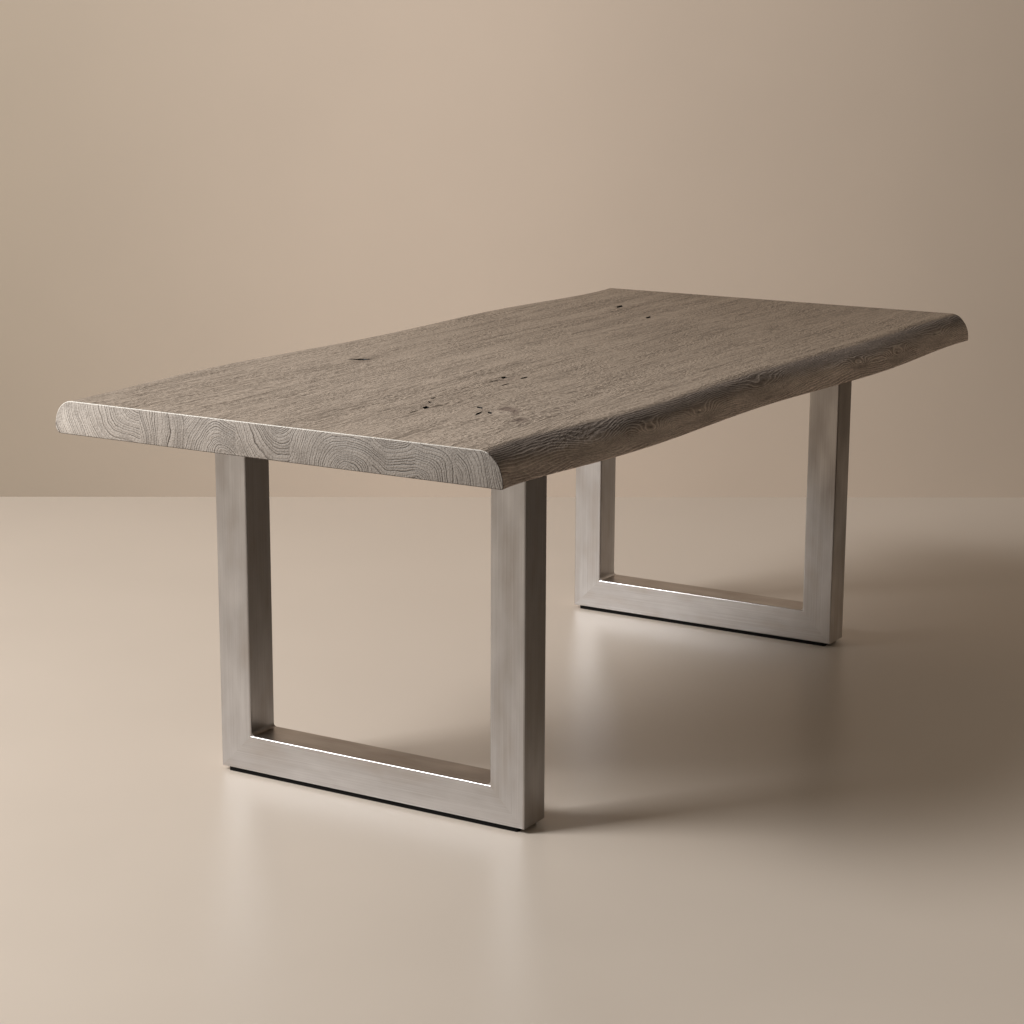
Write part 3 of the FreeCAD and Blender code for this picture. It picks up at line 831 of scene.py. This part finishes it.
def grained(name, color_value, rough, pale, grain_size, detail, bump_strength, shader):
    """Even surface whose fine grain goes from one level of roughness and of paleness to another. shader gives
    more inputs of the shader."""
    material, tree, place = new_material(name)
    grain = put(tree, "TexNoise", {"Vector": place, "Scale": 1 / (grain_size * MM), "Detail": detail})
    rough = put(tree, "MapRange", {"Value": grain, "To Min": rough[0], "To Max": rough[1]})
    pale = put(tree, "MapRange", {"Value": grain, "To Min": pale[0], "To Max": pale[1]})
    color = put(tree, "VectorMath", {0: color_value, "Scale": pale}, operation="SCALE")
    surface = put(tree, "BsdfPrincipled", {"Base Color": color, "Roughness": rough, **shader})
    finish_material(tree, surface, grain, bump_strength, 0.1 * MM)
    return material


def matt_rubber(name, color_value):
    """Moulded rubber strip: black and matt, with a fine even grain."""
    return grained(name, color_value, (0.6, 0.85), (0.8, 1.5), 1.5, 2, 0.3, {"Specular IOR Level": 0.15})


def plated_steel(name, color_value, roughness):
    """Turned or rolled steel of the small parts: an even shine with faint marks of the tool."""
    rough = (roughness - 0.1, roughness + 0.15)
    return grained(name, color_value, rough, (0.8, 1.1), 2.5, 4, 0.2, {"Metallic": 1.0})


def give(node, material):
    """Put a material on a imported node."""
    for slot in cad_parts[node].material_slots:
        slot.material = material


# ---- Stage ----

# Turn of the floor and the wall, half width of the floor, and half width and half height of the wall
WALL_HEADING = math.radians(31.6)
FLOOR_HALF = 16
WALL_HALF = (12, 3.2)

# How far from its middle the wall's painted shade is deepest, and how much less it deepens away from the lamp
WALL_FADE = 1.9
AWAY_FROM_LAMP = 0.45

# Middle, half width and half height of the dark screen
SCREEN_PLACE = (1.9, -1.3, 0.24)
SCREEN_HALF = (2.5, 0.24)

# The large soft lamp
KEY_PLACE = Vector((-3.6, 3.3, 4.1))
KEY_TARGET = Vector((0, 0, 0.4))
KEY_SIZE = (2.4, 2.4)
KEY_COLOR = (1, 1, 0.99)

# Direction of the lamp's side, and how strong the fill light is from the other side and from that one
FILL_FROM = (-0.6, 0.8, 0)
FILL_LEVELS = (0.65, 1.35)

CAMERA_PLACE = (-4.0515, -2.2687, 1.4607)
CAMERA_HEADING = math.radians(30.597)
CAMERA_TILT = math.radians(-12.705)
CAMERA_ROLL = math.radians(0.243)
CAMERA_LENS = 78.58


def stage_plane(name, place, half_width, half_height, material):
    """Large flat sheet of the stage."""
    sheet = bmesh.new()
    bmesh.ops.create_grid(sheet, x_segments=1, y_segments=1, size=1)
    shape = place @ Matrix.Diagonal((half_width, half_height, 1, 1))
    bmesh.ops.transform(sheet, matrix=shape, verts=sheet.verts)
    made = new_object(name, sheet, material)
    return made


def painted_plaster(name, color_value, roughness):
    """Plain painted surface of the studio, faintly mottled by the roller."""
    material, tree, place = new_material(name)
    mottle = put(tree, "TexNoise", {"Vector": place, "Scale": 2.2, "Detail": 5.0})
    pale = put(tree, "MapRange", {"Value": mottle, "To Min": 0.96, "To Max": 1.04})
    color = put(tree, "VectorMath", {0: color_value, "Scale": pale}, operation="SCALE")
    rough = put(tree, "MapRange", {"Value": mottle, "To Min": roughness - 0.06, "To Max": roughness + 0.06})
    surface = put(tree, "BsdfPrincipled", {"Base Color": color, "Roughness": rough})
    output = put(tree, "OutputMaterial", {"Surface": surface})
    return material, tree, color, surface, output


def clear_back(tree, surface, output, light_too):
    """Let the view through the back of a sheet, so that the table shows from there, or light too."""
    back = put(tree, "NewGeometry").outputs["Backfacing"]
    if not light_too:
        ray = put(tree, "LightPath")
        back = put(tree, "Math", {0: back, 1: ray.outputs["Is Camera Ray"]}, operation="MULTIPLY")
    clear = put(tree, "BsdfTransparent")
    shown = put(tree, "MixShader", {"Fac": back, 1: surface, 2: clear})
    tree.links.new(shown.outputs[0], output.inputs["Surface"])


def wall_paint(settings):
    """Wall paint with painted shade that deepens towards both sides, and most towards the side of the lamp."""
    material, tree, color, surface, output = painted_plaster("wall paint", settings.wall, 0.8)
    place = put(tree, "TexCoord").outputs["Object"]
    sideways = (-math.sin(WALL_HEADING), math.cos(WALL_HEADING), 0)
    across = put(tree, "VectorMath", {0: place, 1: sideways}, operation="DOT_PRODUCT")
    other_side = put(tree, "Math", {0: across, 1: -AWAY_FROM_LAMP}, operation="MULTIPLY")
    aside = put(tree, "Math", {0: across, 1: other_side}, operation="MAXIMUM")
    deeper = put(tree, "MapRange", {"Value": aside, "From Max": WALL_FADE}, interpolation_type="SMOOTHSTEP")
    tint = [edge / middle for edge, middle in zip(settings.wall_sides_shade, settings.wall)]
    color = tinted(tree, color, deeper, tint)
    tree.links.new(color.outputs[0], surface.inputs["Base Color"])
    clear_back(tree, surface, output, light_too=True)
    return material


def soft_lamp(power):
    """Large square lamp that faces the table."""
    lamp = bpy.data.lights.new("key", "AREA")
    lamp.shape = "RECTANGLE"
    lamp.size, lamp.size_y = KEY_SIZE
    lamp.energy = power
    lamp.color = KEY_COLOR
    holder = in_scene("key", lamp)
    holder.location = KEY_PLACE
    holder.rotation_euler = (KEY_TARGET - KEY_PLACE).to_track_quat("-Z", "Y").to_euler()


def studio_air(settings):
    """Weak light from all round, and stronger from the side of the lamp."""
    world = bpy.data.worlds.new("studio air")
    world.use_nodes = True
    air = world.node_tree
    background = air.nodes["Background"]
    background.inputs["Color"].default_value = (*settings.sky, 1)
    direction = put(air, "TexCoord").outputs["Generated"]
    to_lamp = put(air, "VectorMath", {0: direction, 1: FILL_FROM}, operation="DOT_PRODUCT")
    least, most = (level * settings.sky_strength for level in FILL_LEVELS)
    level = put(air, "MapRange", {
        "Value": to_lamp, "From Min": -1.0, "From Max": 1.0, "To Min": least, "To Max": most})
    air.links.new(level.outputs[0], background.inputs["Strength"])
    return world


def studio_camera():
    """Camera in its place, turned by its heading, tilt and roll."""
    camera = bpy.data.cameras.new("camera")
    camera.lens = CAMERA_LENS
    camera.sensor_width = 36
    holder = in_scene("camera", camera)
    heading = Matrix.Rotation(CAMERA_HEADING - math.pi / 2, 4, "Z")
    tilt = Matrix.Rotation(math.pi / 2 + CAMERA_TILT, 4, "X")
    roll = Matrix.Rotation(CAMERA_ROLL, 4, "Z")
    holder.matrix_world = Matrix.Translation(CAMERA_PLACE) @ heading @ tilt @ roll
    return holder


# ---- Operators ----

class TABLE_OT_live_edge_boards(bpy.types.Operator):
    """Make the two outer boards with their natural edges"""
    bl_idname = "table.live_edge_boards"
    bl_label = "Live edge boards"

    def execute(self, context):
        settings = context.scene.table_wood
        for seed, side in enumerate(LIVE_EDGES):
            node = side + "_live_edge_board"
            oak = washed_oak("washed oak, %s live edge" % side, node, seed * 3 + 1, settings)
            live_edge_board(side, oak, settings)
        return {"FINISHED"}


class TABLE_OT_inner_boards(bpy.types.Operator):
    """Make the six inner boards of the top"""
    bl_idname = "table.inner_boards"
    bl_label = "Inner boards"

    def execute(self, context):
        settings = context.scene.table_wood
        for number in range(1, 7):
            node = "top_board_%d" % number
            oak = washed_oak("washed oak, board %d" % number, node, number * 4 + 2, settings)
            inner_board(number, oak, settings)
        return {"FINISHED"}


class TABLE_OT_steel_frames(bpy.types.Operator):
    """Finish both steel frames and their welds"""
    bl_idname = "table.steel_frames"
    bl_label = "Steel frames"

    def execute(self, context):
        settings = context.scene.table_steel
        upright_steel = ground_steel("stainless steel, ground upright", 2, settings)
        rail_steel = ground_steel("stainless steel, ground level", 1, settings)
        for side in ("left", "right"):
            give(side + "_front_upright", upright_steel)
            give(side + "_back_upright", upright_steel)
            give(side + "_bottom_rail", rail_steel)
            give(side + "_frame_welds", rail_steel)
        return {"FINISHED"}


class TABLE_OT_fastenings(bpy.types.Operator):
    """Finish the mounting plates, screws, washers and inserts"""
    bl_idname = "table.fastenings"
    bl_label = "Fastenings"

    def execute(self, context):
        settings = context.scene.table_steel
        plate = plated_steel("stainless flat bar, mill finish", settings.steel_dark, 0.42)
        screw = plated_steel("stainless steel, turned", settings.steel_light, 0.3)
        zinc = plated_steel("zinc plated steel", settings.zinc, 0.36)
        for side in ("left", "right"):
            give(side + "_mounting_plate", plate)
            give(side + "_plate_screws", screw)
            give(side + "_plate_washers", screw)
            give(side + "_threaded_inserts", zinc)
        return {"FINISHED"}


class TABLE_OT_glide_strips(bpy.types.Operator):
    """Finish the two rubber glide strips"""
    bl_idname = "table.glide_strips"
    bl_label = "Glide strips"

    def execute(self, context):
        rubber = matt_rubber("moulded rubber, black", context.scene.table_steel.rubber)
        for side in ("left", "right"):
            give(side + "_glide_strip", rubber)
        return {"FINISHED"}


class TABLE_OT_studio(bpy.types.Operator):
    """Make the floor, the wall, the lamp and the camera"""
    bl_idname = "table.studio"
    bl_label = "Studio"

    def execute(self, context):
        scene = context.scene
        settings = scene.table_stage
        floor_paint, tree, color, surface, output = painted_plaster("sealed floor", settings.floor, 0.34)
        clear_back(tree, surface, output, light_too=False)
        turned = Matrix.Rotation(WALL_HEADING, 4, "Z")
        stage_plane("floor", turned, FLOOR_HALF, FLOOR_HALF, floor_paint)
        wall_place = turned @ Matrix.Translation((settings.wall_distance, 0, WALL_HALF[1]))
        upright = Matrix.Rotation(math.radians(-90), 4, "Y") @ Matrix.Rotation(math.radians(90), 4, "Z")
        stage_plane("wall", wall_place @ upright, *WALL_HALF, wall_paint(settings))
        # A dark screen beside the front edge, as studios use, shows only as its reflection in the steel.
        cloth = painted_plaster("dark screen cloth", settings.screen, 0.9)[0]
        screen_place = Matrix.Translation(SCREEN_PLACE) @ Matrix.Rotation(math.radians(90), 4, "X")
        screen = stage_plane("dark_screen", screen_place, *SCREEN_HALF, cloth)
        screen.visible_camera = False
        screen.visible_diffuse = False
        screen.visible_shadow = False
        soft_lamp(settings.key_power)
        scene.world = studio_air(settings)
        scene.camera = studio_camera()
        scene.view_settings.view_transform = "Standard"
        return {"FINISHED"}


class TABLE_PT_sidebar(bpy.types.Panel):
    """Sizes, colours and makers of the table"""
    bl_idname = "TABLE_PT_sidebar"
    bl_label = "Live edge table"
    bl_space_type = "VIEW_3D"
    bl_region_type = "UI"
    bl_category = "Table"

    def draw(self, context):
        for group in (context.scene.table_wood, context.scene.table_steel, context.scene.table_stage):
            for name in group.__annotations__:
                self.layout.prop(group, name)
        for maker in MAKERS:
            self.layout.operator(maker.bl_idname)


SETTINGS = {
    "table_wood": TableWoodSettings,
    "table_steel": TableSteelSettings,
    "table_stage": TableStageSettings,
}
MAKERS = (
    TABLE_OT_studio,
    TABLE_OT_live_edge_boards,
    TABLE_OT_inner_boards,
    TABLE_OT_steel_frames,
    TABLE_OT_fastenings,
    TABLE_OT_glide_strips,
)


def register():
    """Add the settings, the operators and the panel."""
    for name, group in SETTINGS.items():
        bpy.utils.register_class(group)
        setattr(bpy.types.Scene, name, PointerProperty(type=group))
    for maker in MAKERS:
        bpy.utils.register_class(maker)
    bpy.utils.register_class(TABLE_PT_sidebar)


def unregister():
    """Take them away again."""
    bpy.utils.unregister_class(TABLE_PT_sidebar)
    for maker in reversed(MAKERS):
        bpy.utils.unregister_class(maker)
    for name, group in SETTINGS.items():
        delattr(bpy.types.Scene, name)
        bpy.utils.unregister_class(group)


def main():
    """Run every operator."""
    register()
    for maker in MAKERS:
        group, name = maker.bl_idname.split(".")
        getattr(getattr(bpy.ops, group), name)()


if __name__ == "__main__":
    main()
